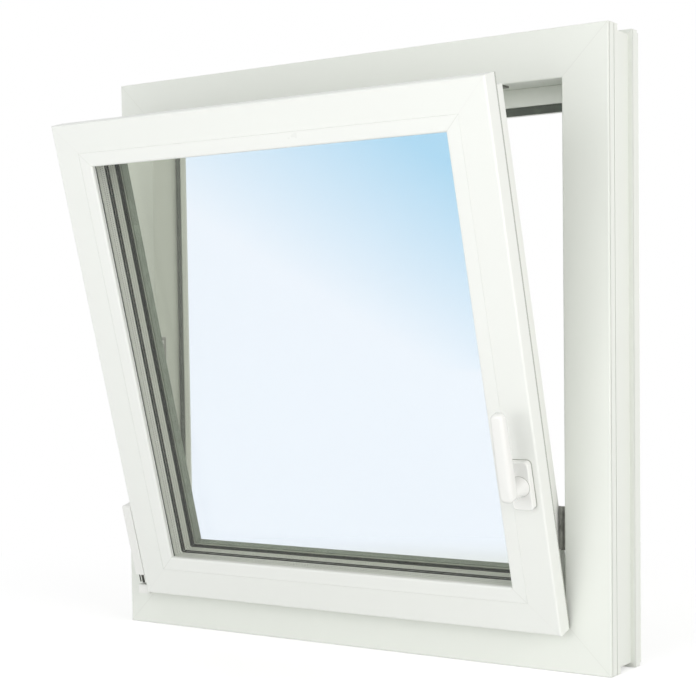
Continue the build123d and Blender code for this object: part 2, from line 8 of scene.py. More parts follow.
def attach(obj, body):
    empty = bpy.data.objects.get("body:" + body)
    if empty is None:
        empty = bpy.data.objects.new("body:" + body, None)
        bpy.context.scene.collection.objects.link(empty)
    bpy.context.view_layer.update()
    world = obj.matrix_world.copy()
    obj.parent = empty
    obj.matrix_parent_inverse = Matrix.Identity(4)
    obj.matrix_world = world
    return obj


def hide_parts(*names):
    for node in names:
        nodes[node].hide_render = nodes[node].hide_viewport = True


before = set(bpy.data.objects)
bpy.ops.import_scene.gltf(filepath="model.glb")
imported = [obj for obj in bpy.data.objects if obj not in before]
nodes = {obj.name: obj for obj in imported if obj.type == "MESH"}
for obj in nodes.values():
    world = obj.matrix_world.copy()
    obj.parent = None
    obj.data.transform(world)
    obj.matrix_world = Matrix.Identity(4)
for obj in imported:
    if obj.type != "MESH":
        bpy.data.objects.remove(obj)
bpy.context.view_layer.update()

scene = bpy.context.scene

# the window as it stands, in metres; these follow the CAD
size = {
    "frameWidth": 0.832, "frameHeight": 0.850, "frameFace": 0.066, "roomFace": -0.0145,
    "sashWidth": 0.716, "sashHeight": 0.734, "sashBottom": 0.058, "sashProud": 0.028,
    "tilt": 15.2, "pivotDepth": -0.0225, "pivotHeight": 0.056,
}
sashMiddle = size["sashBottom"] + size["sashHeight"] / 2
frameMiddle = size["frameHeight"] / 2
jambFace = size["frameWidth"] / 2 - size["frameFace"]
sashFace = size["roomFace"] - size["sashProud"]
pivot = Vector((0, size["pivotDepth"], size["pivotHeight"]))
leaning = Matrix.Rotation(math.radians(size["tilt"]), 4, "X")
tiltSash = Matrix.Translation(pivot) @ leaning @ Matrix.Translation(-pivot)
sashFrame = (size["sashWidth"] / 2, size["sashHeight"] / 2, sashMiddle)
outerFrame = (size["frameWidth"] / 2, frameMiddle, frameMiddle)

# the camera stands where the photograph was taken
cameraLook = {
    "place": (1.3046, -1.9454, 0.4576), "azimuth": 35.619, "down": 2.964, "roll": -0.896,
    "focalPixels": 1612.6, "frame": 696, "centre": (299.7, 415.6), "sensor": 36, "farEnd": 50,
}


def placeCamera(look):
    data = bpy.data.cameras.new("windowCamera")
    camera = bpy.data.objects.new("windowCamera", data)
    scene.collection.objects.link(camera)
    around = math.radians(look["azimuth"])
    down = math.radians(look["down"])
    sight = Vector((-math.sin(around) * math.cos(down), math.cos(around) * math.cos(down), -math.sin(down)))
    turn = sight.to_track_quat("-Z", "Y") @ Quaternion((0, 0, 1), math.radians(look["roll"]))
    camera.location = look["place"]
    camera.rotation_euler = turn.to_euler()
    data.sensor_width = look["sensor"]
    data.lens = look["focalPixels"] / look["frame"] * look["sensor"]
    data.shift_x = (look["frame"] / 2 - look["centre"][0]) / look["frame"]
    data.shift_y = (look["centre"][1] - look["frame"] / 2) / look["frame"]
    data.clip_end = look["farEnd"]
    scene.camera = camera


placeCamera(cameraLook)
print("camera placed")


class NodeDesk:
    # a material with its Principled shader and short calls to add nodes
    def __init__(self, name):
        self.material = bpy.data.materials.new(name)
        self.material.use_nodes = True
        self.tree = self.material.node_tree
        self.shader = self.tree.nodes["Principled BSDF"]
        self.output = self.tree.nodes["Material Output"]

    def add(self, kind, inputs=None, **settings):
        node = self.tree.nodes.new(kind)
        for key, value in settings.items():
            setattr(node, key, value)
        for key, value in (inputs or {}).items():
            self.feed(value, node.inputs[key])
        return node

    def feed(self, value, socket):
        if isinstance(value, bpy.types.NodeSocket):
            self.tree.links.new(value, socket)
        else:
            socket.default_value = value

    def sum(self, operation, first, second=0.0):
        return self.add("ShaderNodeMath", {0: first, 1: second}, operation=operation).outputs[0]

    def parts(self, place):
        return self.add("ShaderNodeSeparateXYZ", {"Vector": place}).outputs

    def coords(self, upright=False):
        # object coordinates, turned back to the upright sash where a pattern follows it
        place = self.add("ShaderNodeTexCoord").outputs["Object"]
        if not upright:
            return place
        back = math.radians(-size["tilt"])
        move = pivot - Matrix.Rotation(back, 3, "X") @ pivot
        mapping = self.add("ShaderNodeMapping", {"Vector": place, "Location": tuple(move),
                                                 "Rotation": (back, 0, 0)})
        return mapping.outputs["Vector"]

    def ramp(self, value, low, high, fromLow=0.0, fromHigh=1.0):
        inputs = {"Value": value, "From Min": fromLow, "From Max": fromHigh, "To Min": low, "To Max": high}
        return self.add("ShaderNodeMapRange", inputs, interpolation_type="SMOOTHSTEP").outputs["Result"]

    def noise(self, place, scale, detail=2.0, roughness=0.5):
        inputs = {"Vector": place, "Scale": scale, "Detail": detail, "Roughness": roughness}
        return self.add("ShaderNodeTexNoise", inputs).outputs["Fac"]

    def mixColour(self, factor, first, second):
        node = self.add("ShaderNodeMix", data_type="RGBA")
        self.feed(factor, node.inputs["Factor"])
        self.feed(first, node.inputs[6])
        self.feed(second, node.inputs[7])
        return node.outputs[2]

    def bump(self, height, distance, strength=1.0, normal=None):
        inputs = {"Height": height, "Distance": distance, "Strength": strength}
        if normal is not None:
            inputs["Normal"] = normal
        return self.add("ShaderNodeBump", inputs).outputs["Normal"]


def edgeDistances(desk, parts, bars):
    # how far a point lies inside the two sides and inside the top and bottom of the bars
    halfWidth, halfHeight, middle = bars
    fromSide = desk.sum("SUBTRACT", halfWidth, desk.sum("ABSOLUTE", parts["X"]))
    fromMiddle = desk.sum("ABSOLUTE", desk.sum("SUBTRACT", parts["Z"], middle))
    return fromSide, desk.sum("SUBTRACT", halfHeight, fromMiddle)


# the frame's white is darker and greener than the sash's: painted shade on the frame
plasticLook = {
    "frame": {"colour": (0.838, 0.866, 0.812), "roughness": 0.36,
              "weld": (0.77, 0.79, 0.74), "weldWidth": 0.0011},
    "sash": {"colour": (0.868, 0.888, 0.850), "roughness": 0.33,
             "weld": (0.84, 0.85, 0.82), "weldWidth": 0.0009},
    "bead": {"colour": (0.874, 0.893, 0.858), "roughness": 0.30,
             "weld": (0.70, 0.72, 0.67), "weldWidth": 0.0007},
}
# painted shade darkens these grooves of the frame's outer side: depth behind the room face, in metres
paintedGrooveShade = {"colour": (0.36, 0.35, 0.31), "softEdge": 0.0001, "edgeDepth": 0.0008, "skinDepth": 0.0012,
              "reach": 0.0075,
              "grooves": ((0.0035, 0.0051), (0.0175, 0.0191), (0.0756, 0.0772), (0.0900, 0.0940))}


def paintedShadeInGrooves(desk, place, look):
    # painted shade mask: 1 inside a groove of the outer side, 0 on the faces round it
    parts = desk.parts(place)
    below = desk.sum("MINIMUM", *edgeDistances(desk, parts, outerFrame))
    depth = desk.sum("SUBTRACT", parts["Y"], size["roomFace"])
    grooveShadeAmount = 0.0
    for start, end in look["grooves"]:
        away = desk.sum("ABSOLUTE", desk.sum("SUBTRACT", depth, (start + end) / 2))
        half = (end - start) / 2
        here = desk.ramp(away, 1.0, 0.0, half - look["softEdge"], half + look["edgeDepth"])
        grooveShadeAmount = desk.sum("MAXIMUM", grooveShadeAmount, here)
    underSkin = desk.sum("GREATER_THAN", below, look["skinDepth"])
    nearSide = desk.sum("LESS_THAN", below, look["reach"])
    return desk.sum("MULTIPLY", grooveShadeAmount, desk.sum("MULTIPLY", underSkin, nearSide))


def makePlastic(name, look, bars, upright=True, grooves=None):
    # white plastic with a fine weld line on the mitre between two bars
    desk = NodeDesk(name)
    place = desk.coords(upright)
    fromSide, fromEnd = edgeDistances(desk, desk.parts(place), bars)
    apart = desk.sum("ABSOLUTE", desk.sum("SUBTRACT", fromSide, fromEnd))
    line = desk.ramp(apart, 1.0, 0.0, look["weldWidth"] * 0.4, look["weldWidth"])
    cloud = desk.noise(place, 5.0, 3.0)
    pale = tuple(min(1, c * 1.012) for c in look["colour"]) + (1,)
    deep = tuple(c * 0.985 for c in look["colour"]) + (1,)
    clean = desk.mixColour(cloud, deep, pale)
    skin = desk.mixColour(desk.sum("MULTIPLY", line, 0.6), clean, look["weld"] + (1,))
    # the grooves of the frame's outer side are painted darker as shade
    if grooves:
        skin = desk.mixColour(paintedShadeInGrooves(desk, place, grooves), skin, grooves["colour"] + (1,))
    desk.feed(skin, desk.shader.inputs["Base Color"])
    grain = desk.noise(place, 900.0, 2.0)
    wave = desk.noise(place, 38.0, 2.0)
    gloss = desk.ramp(wave, look["roughness"] - 0.04, look["roughness"] + 0.05)
    desk.feed(gloss, desk.shader.inputs["Roughness"])
    fine = desk.bump(grain, 0.00001, 0.25)
    desk.feed(desk.bump(desk.sum("MULTIPLY", line, -1.0), 0.0002, 0.5, fine), desk.shader.inputs["Normal"])
    desk.shader.inputs["IOR"].default_value = 1.5
    return desk.material


frameShadedWhite = makePlastic("frameShadedUpvc", plasticLook["frame"], outerFrame, False, paintedGrooveShade)
sashWhite = makePlastic("sashUpvc", plasticLook["sash"], sashFrame)
beadWhite = makePlastic("beadUpvc", plasticLook["bead"], sashFrame)

glassLook = {"tint": (0.915, 0.924, 0.890), "streak": (0.906, 0.918, 0.884), "shade": (0.985, 0.992, 0.975),
             "ior": 1.33}


def makeGlass(look):
    desk = NodeDesk("clearGlass")
    place = desk.coords(True)
    soft = desk.noise(place, 3.0, 2.0)
    tint = desk.mixColour(soft, look["tint"] + (1,), look["streak"] + (1,))
    desk.feed(tint, desk.shader.inputs["Base Color"])
    desk.shader.inputs["Roughness"].default_value = 0.0
    desk.shader.inputs["IOR"].default_value = look["ior"]
    desk.shader.inputs["Transmission Weight"].default_value = 1.0
    clear = desk.add("ShaderNodeBsdfTransparent", {"Color": look["shade"] + (1,)})
    shadow = desk.add("ShaderNodeLightPath").outputs["Is Shadow Ray"]
    mix = desk.add("ShaderNodeMixShader", {0: shadow, 1: desk.shader.outputs[0], 2: clear.outputs[0]})
    desk.tree.links.new(mix.outputs[0], desk.output.inputs["Surface"])
    return desk.material


clearGlass = makeGlass(glassLook)

# lacquered spacers with two rows of punched holes; the holes are painted dark as shade and their rims painted
# lighter as a highlight
spacerLook = {"metal": (0.96, 0.985, 0.945), "rim": (0.99, 1.0, 0.98), "shadedHole": (0.20, 0.21, 0.19),
              "pitch": 0.0056, "rowGap": 0.0044, "rimRadius": 0.0014, "holeRadius": 0.0008, "roughness": 0.42,
              "setback": 0.010, "pane": 0.004, "cavity": 0.020}


def makeSpacer(look):
    desk = NodeDesk("spacerMetal")
    place = desk.coords(True)
    parts = desk.parts(place)
    fromSide, fromEnd = edgeDistances(desk, parts, sashFrame)
    onSide = desk.sum("LESS_THAN", fromSide, fromEnd)
    along = desk.sum("ADD", desk.sum("MULTIPLY", parts["Z"], onSide),
                     desk.sum("MULTIPLY", parts["X"], desk.sum("SUBTRACT", 1.0, onSide)))
    cell = desk.sum("SUBTRACT", desk.sum("PINGPONG", along, look["pitch"] / 2), look["pitch"] / 4)
    firstMiddle = sashFace + look["setback"] + look["pane"] + look["cavity"] / 2
    apart = (look["pane"] + look["cavity"]) / 2
    depth = desk.sum("PINGPONG", desk.sum("SUBTRACT", parts["Y"], firstMiddle), apart)
    row = desk.sum("SUBTRACT", depth, look["rowGap"] / 2)
    away = desk.sum("SQRT", desk.sum("ADD", desk.sum("POWER", cell, 2.0), desk.sum("POWER", row, 2.0)))
    # painted highlight on the rim round each hole, painted shade inside the hole
    rim = desk.ramp(away, 1.0, 0.0, look["rimRadius"] * 0.7, look["rimRadius"])
    shadedHole = desk.ramp(away, 1.0, 0.0, look["holeRadius"] * 0.7, look["holeRadius"])
    streak = desk.noise(place, 240.0, 3.0)
    dull = tuple(c * 0.93 for c in look["metal"]) + (1,)
    stamped = desk.mixColour(rim, desk.mixColour(streak, look["metal"] + (1,), dull), look["rim"] + (1,))
    desk.feed(desk.mixColour(shadedHole, stamped, look["shadedHole"] + (1,)), desk.shader.inputs["Base Color"])
    gloss = desk.ramp(streak, look["roughness"] - 0.06, look["roughness"] + 0.08)
    desk.feed(gloss, desk.shader.inputs["Roughness"])
    fine = desk.bump(streak, 0.00003, 0.4)
    pit = desk.sum("SUBTRACT", 1.0, shadedHole)
    desk.feed(desk.bump(pit, 0.0003, 0.7, fine), desk.shader.inputs["Normal"])
    return desk.material


spacerMetal = makeSpacer(spacerLook)


def makeRubber(name, colour, roughness, scale, upright=True, paintedLightBand=None):
    desk = NodeDesk(name)
    place = desk.coords(upright)
    bloom = desk.noise(place, scale, 4.0, 0.6)
    dusty = tuple(c * 1.35 + 0.006 for c in colour) + (1,)
    skin = desk.mixColour(desk.ramp(bloom, 0.0, 1.0, 0.35, 0.75), colour + (1,), dusty)
    if paintedLightBand:
        # painted light: a pale band between the two lips stands in for light on the seal's side
        depth = desk.parts(place)["Y"]
        away = desk.sum("ABSOLUTE", desk.sum("SUBTRACT", depth, size["roomFace"] + paintedLightBand["middle"]))
        paintedLight = desk.ramp(away, 1.0, 0.0, paintedLightBand["half"] * 0.8, paintedLightBand["half"])
        skin = desk.mixColour(paintedLight, skin, paintedLightBand["colour"] + (1,))
    desk.feed(skin, desk.shader.inputs["Base Color"])
    desk.feed(desk.ramp(bloom, roughness - 0.06, roughness + 0.08), desk.shader.inputs["Roughness"])
    grain = desk.noise(place, scale * 12, 2.0)
    desk.feed(desk.bump(grain, 0.00005, 0.5), desk.shader.inputs["Normal"])
    return desk.material


sealRubber = makeRubber("sealRubber", (0.060, 0.072, 0.062), 0.55, 60.0)
# painted light along the side of the lap seal
lapPaintedLight = {"middle": -0.00155, "half": 0.0009, "colour": (0.62, 0.63, 0.58)}
lapRubber = makeRubber("lapSealRubber", (0.085, 0.095, 0.080), 0.55, 60.0, True, lapPaintedLight)
stopRubber = makeRubber("stopSealRubber", (0.085, 0.100, 0.082), 0.55, 60.0, False)
# dark grey-green of the leg gasket, partly painted shade on the outer leg's slope
legGasketAndShade = makeRubber("legGasketAndShadeRubber", (0.285, 0.335, 0.285), 0.50, 45.0)
sealantBlack = makeRubber("sealantBlack", (0.016, 0.020, 0.017), 0.60, 90.0)
# grey that stands in for the contact shade round the handle
contactShadeGrey = makeRubber("handleContactShade", (0.400, 0.415, 0.375), 0.55, 80.0)
blockBlue = makeRubber("packerBlue", (0.10, 0.20, 0.42), 0.45, 40.0)

zincLook = {"pale": (0.58, 0.59, 0.57), "dark": (0.40, 0.41, 0.39), "roughness": 0.34}
# near-black that stands in for the shade under the hinge leaf and beside the rod
leafShadeLook = {"pale": (0.10, 0.10, 0.09), "dark": (0.05, 0.05, 0.05), "roughness": 0.40}
keepSteelLook = {"pale": (0.34, 0.34, 0.32), "dark": (0.20, 0.20, 0.19), "roughness": 0.38}


def makeSteel(name, look, upright):
    desk = NodeDesk(name)
    place = desk.coords(upright)
    blotch = desk.noise(place, 70.0, 4.0, 0.62)
    stretched = desk.add("ShaderNodeMapping", {"Vector": place, "Scale": (30, 400, 30)}).outputs["Vector"]
    brushed = desk.noise(stretched, 6.0, 3.0)
    cloudy = desk.ramp(blotch, 0.0, 1.0, 0.3, 0.7)
    metal = desk.mixColour(cloudy, look["pale"] + (1,), look["dark"] + (1,))
    desk.feed(metal, desk.shader.inputs["Base Color"])
    desk.shader.inputs["Metallic"].default_value = 1.0
    gloss = desk.ramp(brushed, look["roughness"] - 0.08, look["roughness"] + 0.12)
    desk.feed(gloss, desk.shader.inputs["Roughness"])
    desk.feed(desk.bump(brushed, 0.00004, 0.5), desk.shader.inputs["Normal"])
    return desk.material


sashSteel = makeSteel("sashHardwareSteel", zincLook, True)
frameSteel = makeSteel("frameHardwareSteel", zincLook, False)
leafShadeDark = makeSteel("leafShadeMetal", leafShadeLook, True)
keepDark = makeSteel("keepSteel", keepSteelLook, False)


def makeCoat(name, colour, roughness, upright, rodBelow=None):
    # smooth powder coat, or a moulded cover
    desk = NodeDesk(name)
    place = desk.coords(upright)
    peel = desk.noise(place, 24.0, 2.0)
    fine = desk.noise(place, 700.0, 2.0)
    cloud = desk.noise(place, 14.0, 2.0)
    skin = desk.mixColour(cloud, tuple(c * 0.988 for c in colour) + (1,), colour + (1,))
    if rodBelow:
        # the rod under the leaf is bare steel
        level = desk.parts(place)["Z"]
        bare = desk.ramp(level, 1.0, 0.0, rodBelow["level"] - 0.0002, rodBelow["level"] + 0.0002)
        skin = desk.mixColour(bare, skin, rodBelow["colour"] + (1,))
        desk.feed(bare, desk.shader.inputs["Metallic"])
    desk.feed(skin, desk.shader.inputs["Base Color"])
    desk.feed(desk.ramp(peel, roughness - 0.012, roughness + 0.016), desk.shader.inputs["Roughness"])
    desk.feed(desk.bump(fine, 0.000001, 0.1), desk.shader.inputs["Normal"])
    desk.shader.inputs["Coat Weight"].default_value = 0.15
    desk.shader.inputs["Coat Roughness"].default_value = 0.2
    return desk.material


bareRod = {"level": 0.0878, "colour": (0.30, 0.30, 0.28)}
handleWhite = makeCoat("handleCoat", (0.885, 0.892, 0.865), 0.26, True)
hingeWhite = makeCoat("hingeCoat", (0.872, 0.880, 0.850), 0.30, True, bareRod)
coverWhite = makeCoat("coverPlastic", (0.868, 0.878, 0.845), 0.34, False)
print("materials made")

nodeLooks = {
    "frame_sill": frameShadedWhite, "frame_head": frameShadedWhite, "frame_left_jamb": frameShadedWhite,
    "frame_right_jamb": frameShadedWhite, "frame_stop_seal": stopRubber,
    "sash_bottom_rail": sashWhite, "sash_top_rail": sashWhite, "sash_left_stile": sashWhite,
    "sash_right_stile": sashWhite, "sash_lap_seal": lapRubber, "sash_steels": sashSteel,
    "frame_steels": frameSteel, "glazing_blocks": blockBlue, "bead_seal": sealRubber,
    "rebate_seal": sealRubber, "spacer_room": spacerMetal, "spacer_outer": spacerMetal,
    "sealant_room": sealantBlack, "sealant_outer": sealantBlack,
    "glass_room_pane": clearGlass, "glass_middle_pane": clearGlass, "glass_outer_pane": clearGlass,
    "bead_bottom": beadWhite, "bead_top": beadWhite, "bead_left": beadWhite, "bead_right": beadWhite,
    "head_stop_bar": frameShadedWhite, "head_stop_seal": stopRubber, "tilt_keep": keepDark,
    "handle_rosette": handleWhite, "handle_lever": handleWhite, "hinge_leaf": hingeWhite,
    "hinge_bearing": frameSteel, "stay_bearing": frameSteel, "hinge_cover": coverWhite,
    "stay_cover": coverWhite, "stay_arm": frameSteel, "stay_slider": sashSteel,
    "lock_rail_bottom": sashSteel, "lock_rail_top": sashSteel, "lock_rail_left": sashSteel,
    "lock_rail_right": sashSteel, "lock_cams": sashSteel, "keeps": keepDark, "drain_caps": coverWhite,
}
for name, node in nodes.items():
    for slot in node.material_slots:
        slot.material = nodeLooks[name]
    if not node.material_slots:
        node.data.materials.append(nodeLooks[name])
print("nodes dressed")


def finishPiece(name, mesh, material, onSash=True, replaced=(), sharpAngle=32):
    # the mesh takes its place, its faces are turned outwards, and the piece rides on the window
    if onSash:
        bmesh.ops.transform(mesh, matrix=tiltSash, verts=mesh.verts)
    bmesh.ops.recalc_face_normals(mesh, faces=mesh.faces)
    for face in mesh.faces:
        face.smooth = True
    for edge in mesh.edges:
        edge.smooth = edge.calc_face_angle(0) < math.radians(sharpAngle)
    data = bpy.data.meshes.new(name)
    mesh.to_mesh(data)
    mesh.free()
    piece = bpy.data.objects.new(name, data)
    scene.collection.objects.link(piece)
    data.materials.append(material)
    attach(piece, "root")
    if replaced:
        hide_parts(*replaced)


def addRing(mesh, profile, bars):
    # the profile stands in one corner, is spun in four steps and stretched to the size of the bars
    halfWidth, halfHeight, middle = bars
    start = 0.2
    points = [mesh.verts.new((start - inset, depth, start - inset)) for inset, depth in profile]
    edges = [mesh.edges.new(pair) for pair in zip(points, points[1:] + points[:1])]
    before = set(mesh.verts) - set(points)
    bmesh.ops.spin(mesh, geom=points + edges, cent=(0, 0, 0), axis=(0, 1, 0), angle=2 * math.pi, steps=4,
                   use_merge=True)
    bmesh.ops.remove_doubles(mesh, verts=[vert for vert in mesh.verts if vert not in before], dist=0.00001)
    for vert in set(mesh.verts) - before:
        vert.co.x += math.copysign(halfWidth - start, vert.co.x)
        vert.co.z += math.copysign(halfHeight - start, vert.co.z) + middle


def addSpun(mesh, profile, centre, axis, steps=40):
    # the profile gives radius and height along the axis; both of its ends lie on the axis
    along = Vector(axis)
    across = Vector((1, 0, 0)) if abs(along.x) < 0.5 else Vector((0, 0, 1))
    points = [mesh.verts.new(Vector(centre) + across * radius + along * height) for radius, height in profile]
    edges = [mesh.edges.new(pair) for pair in zip(points, points[1:])]
    before = set(mesh.verts) - set(points)
    bmesh.ops.spin(mesh, geom=points + edges, cent=centre, axis=axis, angle=2 * math.pi, steps=steps,
                   use_merge=True)
    bmesh.ops.remove_doubles(mesh, verts=[vert for vert in mesh.verts if vert not in before], dist=0.000005)


def roundEdges(mesh, edges, offset, segments, clamped=False):
    bmesh.ops.bevel(mesh, geom=edges, offset=offset, segments=segments, profile=0.5, affect="EDGES",
                    material=-1, clamp_overlap=clamped)


def addBlock(mesh, low, high, rounded=0.0, segments=2):
    # a block between two corners, with its edges rounded
    place = Matrix.Translation((Vector(low) + Vector(high)) / 2)
    scale = Matrix.Diagonal((Vector(high) - Vector(low)).to_4d())
    scale[3][3] = 1
    block = bmesh.ops.create_cube(mesh, size=1, matrix=place @ scale)["verts"]
    if rounded:
        edges = list({edge for vert in block for edge in vert.link_edges})
        roundEdges(mesh, edges, rounded, segments, True)


# black butyl on the spacers beside the middle and the outer pane, where the glass shows its edge
butylLook = {"inset": 0.0608, "rise": 0.0011, "lines": ((0.0308, 0.0340), (0.0380, 0.0408), (0.0548, 0.0580))}


def makeButyl(look):
    mesh = bmesh.new()
    for start, end in look["lines"]:
        near = look["inset"]
        far = near + look["rise"]
        shoulder = far - look["rise"] * 0.4
        crown = (end - start) * 0.3
        profile = [(near, start), (shoulder, start), (far, start + crown),
                   (far, end - crown), (shoulder, end), (near, end)]
        addRing(mesh, [(inset, sashFace + depth) for inset, depth in profile], sashFrame)
    finishPiece("butylLines", mesh, sealantBlack)


makeButyl(butylLook)

# ribbed grey gasket on the outer leg, behind the outer pane: a real glazing gasket, but spread over the whole
# slope its dark colour partly stands in for shade
legLook = {"top": 0.0641, "front": 0.0652, "shoulder": 0.0680, "foot": 0.0581, "back": 0.0808, "skin": 0.0009,
           "rib": 0.0006, "ribs": 5}


def makeLegGasket(look):
    mesh = bmesh.new()
    profile = [(look["top"], look["front"])]
    steps = look["ribs"] * 2
    for step in range(steps + 1):
        lift = look["skin"] + (look["rib"] if step % 2 else 0)
        share = 0.03 + 0.94 * step / steps
        profile.append((look["top"] + lift, look["front"] + (look["back"] - look["front"]) * share))
    profile += [(look["top"] + look["skin"] * 0.4, look["back"]), (look["foot"], look["back"]),
                (look["top"], look["shoulder"])]
    addRing(mesh, [(inset, sashFace + depth) for inset, depth in profile], sashFrame)
    finishPiece("legGasket", mesh, legGasketAndShade, sharpAngle=60)


makeLegGasket(legLook)

# plain cover strip over the stop of the head, from the rebate down to the dark seal
headLook = {"halfLength": 0.3492, "low": 0.7594, "high": 0.7838, "front": 0.0531, "back": 0.0538,
            "rounded": 0.0002}


def makeHeadCover(look):
    mesh = bmesh.new()
    front = size["roomFace"] + look["front"]
    back = size["roomFace"] + look["back"]
    addBlock(mesh, (-look["halfLength"], front, look["low"]), (look["halfLength"], back, look["high"]),
             look["rounded"], 1)
    finishPiece("headStopCover", mesh, frameShadedWhite, onSash=False)


makeHeadCover(headLook)
print("seals and strips made")

# handle: a smooth lever on a flared neck, with thin grey rings of painted contact shade; the neck's profile
# gives radius and height
handleLook = {"across": 0.334, "level": 0.271, "leverBack": 0.036, "leverFront": 0.052,
              "halfWidth": 0.010, "above": 0.109, "below": 0.009, "corner": 0.0085, "frontEdge": 0.0055,
              "backEdge": 0.0022, "thinner": 0.0035, "narrower": 0.10,
              "neck": ((0.0, 0.039), (0.0097, 0.039), (0.0100, 0.0335), (0.0108, 0.0250), (0.0118, 0.0180),
                       (0.0128, 0.0140), (0.0136, 0.0124), (0.0138, 0.0118), (0.0136, 0.0113), (0.0, 0.0113)),
              "neckShadeRing": ((0.0, 0.0113), (0.0141, 0.0113), (0.0141, 0.0110), (0.0, 0.0110)),
              "foot": (0.0154, 0.0334), "footThick": 0.0005, "footCorner": 0.0062}


def makeLever(look):
    mesh = bmesh.new()
    low = (look["across"] - look["halfWidth"], sashFace - look["leverFront"], look["level"] - look["below"])
    high = (look["across"] + look["halfWidth"], sashFace - look["leverBack"], look["level"] + look["above"])
    addBlock(mesh, low, high)
    sideways = [edge for edge in mesh.edges if abs(edge.verts[0].co.y - edge.verts[1].co.y) > 0.001]
    roundEdges(mesh, sideways, look["corner"], 6)
    for front, offset, segments in ((True, look["frontEdge"], 5), (False, look["backEdge"], 3)):
        level = low[1] if front else high[1]
        rim = [edge for edge in mesh.edges if all(abs(vert.co.y - level) < 0.0001 for vert in edge.verts)]
        roundEdges(mesh, rim, offset, segments)
    upright = [edge for edge in mesh.edges if abs(edge.verts[0].co.z - edge.verts[1].co.z) > 0.05]
    bmesh.ops.subdivide_edges(mesh, edges=upright, cuts=8, use_grid_fill=True)
    for vert in mesh.verts:
        part = max(0.0, (vert.co.z - look["level"]) / look["above"])
        frontness = (high[1] - vert.co.y) / (high[1] - low[1])
        vert.co.y += look["thinner"] * part * part * frontness
        vert.co.x = look["across"] + (vert.co.x - look["across"]) * (1 - look["narrower"] * part * part)
    addSpun(mesh, look["neck"], (look["across"], sashFace, look["level"]), (0, -1, 0), 64)
    finishPiece("handleGrip", mesh, handleWhite, replaced=("handle_lever",))


def makeHandleContactShade(look):
    # painted contact shade: a grey line under the neck and round the foot of the rosette
    mesh = bmesh.new()
    addSpun(mesh, look["neckShadeRing"], (look["across"], sashFace, look["level"]), (0, -1, 0), 64)
    before = set(mesh.verts)
    wide, tall = look["foot"]
    addBlock(mesh, (look["across"] - wide, sashFace - look["footThick"], look["level"] - tall),
             (look["across"] + wide, sashFace, look["level"] + tall))
    corners = [edge for edge in mesh.edges if edge.verts[0] not in before
               and abs(edge.verts[0].co.x - edge.verts[1].co.x) < 0.0001
               and abs(edge.verts[0].co.z - edge.verts[1].co.z) < 0.0001]
    roundEdges(mesh, corners, look["footCorner"], 6)
    finishPiece("handleContactShadeRings", mesh, contactShadeGrey)


makeLever(handleLook)
makeHandleContactShade(handleLook)
print("handle made")

# lower hinge: a steel cup in a white shell, with collars on the rod above it
hingeLook = {"across": -0.3681, "plate": (-0.3813, -0.3583), "front": 0.0250, "shell": (0.0510, 0.0640),
             "wall": 0.0016, "open": 0.0175, "corner": 0.0040,
             "cup": ((0.0, 0.0530), (0.0072, 0.0530), (0.0075, 0.0533), (0.0075, 0.0606), (0.0072, 0.0610),
                     (0.0053, 0.0610), (0.0049, 0.0605), (0.0049, 0.0540), (0.0, 0.0540)),
             "cupPlate": {"inset": 0.0021, "thick": 0.0030, "low": 0.0540, "high": 0.0630, "rounded": 0.0004},
             "shadePosts": ((-0.3712, 0.0010, 0.0740), (-0.3656, 0.0019, 0.0730)), "shadePostDepth": 0.0045,
             "leaf": (-0.3755, -0.3585), "leafDepth": (0.0012, 0.0225), "leafFoot": 0.0880,
             "leafThick": 0.0008,
             "collars": ((0.0640, 0.0668, 0.0040), (0.0852, 0.0876, 0.0046)), "collarEdge": 0.0004}


def makeHingeShell(look):
    mesh = bmesh.new()
    low = (look["plate"][0], size["roomFace"] - look["front"], look["shell"][0])
    high = (look["plate"][1], size["roomFace"], look["shell"][1])
    addBlock(mesh, low, high)
    # its two front corners are rounded, and the top is opened behind a solid front
    corners = [edge for edge in mesh.edges if abs(edge.verts[0].co.z - edge.verts[1].co.z) > 0.005
               and edge.verts[0].co.y < low[1] + 0.0001]
    roundEdges(mesh, corners, look["corner"], 6)
    openFrom = size["roomFace"] - look["open"]
    bmesh.ops.bisect_plane(mesh, geom=mesh.verts[:] + mesh.edges[:] + mesh.faces[:],
                           plane_co=(0, openFrom, 0), plane_no=(0, 1, 0))
    top = [face for face in mesh.faces if all(abs(vert.co.z - high[2]) < 0.0001 for vert in face.verts)
           and face.calc_center_median().y > openFrom]
    bmesh.ops.inset_region(mesh, faces=top, thickness=look["wall"], use_even_offset=True)
    grown = bmesh.ops.extrude_face_region(mesh, geom=top)["geom"]
    bmesh.ops.delete(mesh, geom=top, context="FACES_ONLY")
    floor = [item for item in grown if isinstance(item, bmesh.types.BMVert)]
    bmesh.ops.translate(mesh, verts=floor, vec=(0, 0, low[2] + look["wall"] - high[2]))
    finishPiece("hingeShell", mesh, coverWhite, onSash=False, replaced=("hinge_cover",))


def makeHingeCup(look):
    mesh = bmesh.new()
    plate = look["cupPlate"]
    addSpun(mesh, look["cup"], (look["across"], size["pivotDepth"], 0), (0, 0, 1))
    addBlock(mesh, (look["plate"][0] + plate["inset"], size["roomFace"] - plate["thick"], plate["low"]),
             (look["plate"][1] - plate["inset"], size["roomFace"], plate["high"]), plate["rounded"])
    finishPiece("hingeCup", mesh, frameSteel, onSash=False, replaced=("hinge_bearing",))


